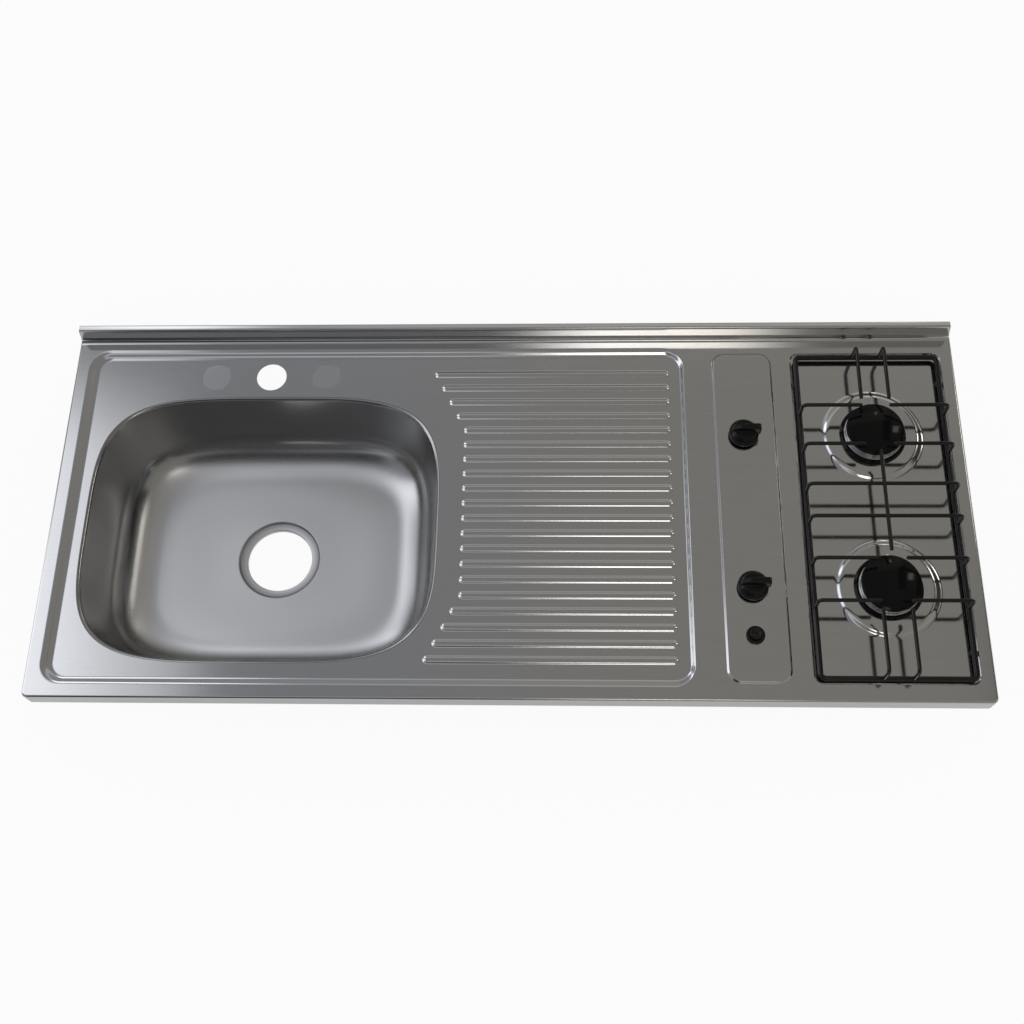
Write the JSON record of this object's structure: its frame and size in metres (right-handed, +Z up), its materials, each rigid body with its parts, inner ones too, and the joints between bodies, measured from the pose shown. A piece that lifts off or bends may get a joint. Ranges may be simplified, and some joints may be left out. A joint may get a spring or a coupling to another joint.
{
  "type": "kitchenette unit with sink and hob",
  "caption": "Lay-on stainless steel kitchenette worktop with a pressed sink, ribbed drainer, tap hole, gas taps, igniter and a gas hob under a wire pan support.",
  "frame": {"origin": "middle of the underside of the front edge's return, which rests on the cabinet", "axes": "+X along the worktop towards the hob, +Y from the front edge to the wall, +Z up"},
  "size_m": [1.2, 0.52, 0.177],
  "materials": {
    "pressed_steel": "lightly brushed, half mirror",
    "galvanised_steel": "galvanised, dull",
    "brass": "machined, dull",
    "aluminium_tube": "drawn, satin",
    "cast_aluminium": "as cast",
    "bright_aluminium": "turned, bright",
    "black_enamel": "vitreous enamel, gloss",
    "wire_enamel": "vitreous enamel, half gloss",
    "knob_plastic": "moulded, half gloss",
    "igniter_plastic": "moulded",
    "button_plastic": "moulded, half gloss",
    "black_rubber": "moulded",
    "white_ceramic": "fired",
    "lead_silicone": "extruded",
    "bright_steel": "drawn"
  },
  "bodies": {
    "worktop_unit": {"worktop": "pressed_steel", "sink_bowl": "pressed_steel", "rear_rail": "galvanised_steel", "front_rail": "galvanised_steel", "drainer_channels": "galvanised_steel", "burner_box": "galvanised_steel", "box_floor": "galvanised_steel", "floor_screws": "galvanised_steel", "gas_rail": "brass", "rail_brackets": "galvanised_steel", "inlet_elbow": "brass", "tap_body_rear": "brass", "tap_body_front": "brass", "tap_covers": "galvanised_steel", "tap_screws": "galvanised_steel", "stem_grommets": "black_rubber", "supply_pipes": "aluminium_tube", "pipe_nuts": "brass", "injector_rear": "brass", "injector_front": "brass", "injector_brackets": "galvanised_steel", "burner_cup_rear": "cast_aluminium", "burner_cup_front": "cast_aluminium", "burner_screws": "galvanised_steel", "base_ring_rear": "black_enamel", "base_ring_front": "black_enamel", "burner_head_rear": "bright_aluminium", "burner_head_front": "bright_aluminium", "electrode_rear": "white_ceramic", "electrode_front": "white_ceramic", "ignition_lead_rear": "lead_silicone", "ignition_lead_front": "lead_silicone", "igniter_body": "igniter_plastic", "igniter_nut": "igniter_plastic", "igniter_spring": "bright_steel"},
    "rear_tap_plug": {"tap_plug_rear": "brass", "tap_spring_rear": "bright_steel"},
    "rear_knob": {"tap_stem_rear": "bright_steel", "knob_rear": "knob_plastic"},
    "front_tap_plug": {"tap_plug_front": "brass", "tap_spring_front": "bright_steel"},
    "front_knob": {"tap_stem_front": "bright_steel", "knob_front": "knob_plastic"},
    "igniter_button": {"igniter_button": "button_plastic"},
    "rear_burner_cap": {"burner_cap_rear": "black_enamel"},
    "front_burner_cap": {"burner_cap_front": "black_enamel"},
    "pan_support": {"pan_support_frame": "wire_enamel", "pan_support_fingers": "wire_enamel", "pan_support_bridge": "wire_enamel", "pan_support_feet": "black_rubber"}
  },
  "joints": [
    {"name": "rear_knob_turn", "type": "hinge", "parent": "worktop_unit", "child": "rear_tap_plug", "pos_m": [0.312, 0.354, 0.025], "axis": [0, 0, 1], "range_deg": [0, 210]},
    {"name": "rear_knob_push", "type": "slide", "parent": "rear_tap_plug", "child": "rear_knob", "axis": [0, 0, -1], "range_m": [0, 0.0025], "stiffness_N_per_m": 1500, "springref_m": -0.002, "deforming": ["tap_spring_rear"]},
    {"name": "front_knob_turn", "type": "hinge", "parent": "worktop_unit", "child": "front_tap_plug", "pos_m": [0.312, 0.14, 0.025], "axis": [0, 0, 1], "range_deg": [0, 210]},
    {"name": "front_knob_push", "type": "slide", "parent": "front_tap_plug", "child": "front_knob", "axis": [0, 0, -1], "range_m": [0, 0.0025], "stiffness_N_per_m": 1500, "springref_m": -0.002, "deforming": ["tap_spring_front"]},
    {"name": "igniter_push", "type": "slide", "parent": "worktop_unit", "child": "igniter_button", "axis": [0, 0, -1], "range_m": [0, 0.004], "stiffness_N_per_m": 1200, "springref_m": -0.002, "deforming": ["igniter_spring"]},
    {"name": "rear_cap_lift", "type": "slide", "parent": "worktop_unit", "child": "rear_burner_cap", "axis": [0, 0, 1], "range_m": [0, 0.004]},
    {"name": "front_cap_lift", "type": "slide", "parent": "worktop_unit", "child": "front_burner_cap", "axis": [0, 0, 1], "range_m": [0, 0.004]},
    {"name": "pan_support_lift", "type": "slide", "parent": "worktop_unit", "child": "pan_support", "axis": [0, 0, 1], "range_m": [0, 0.12]}
  ]
}
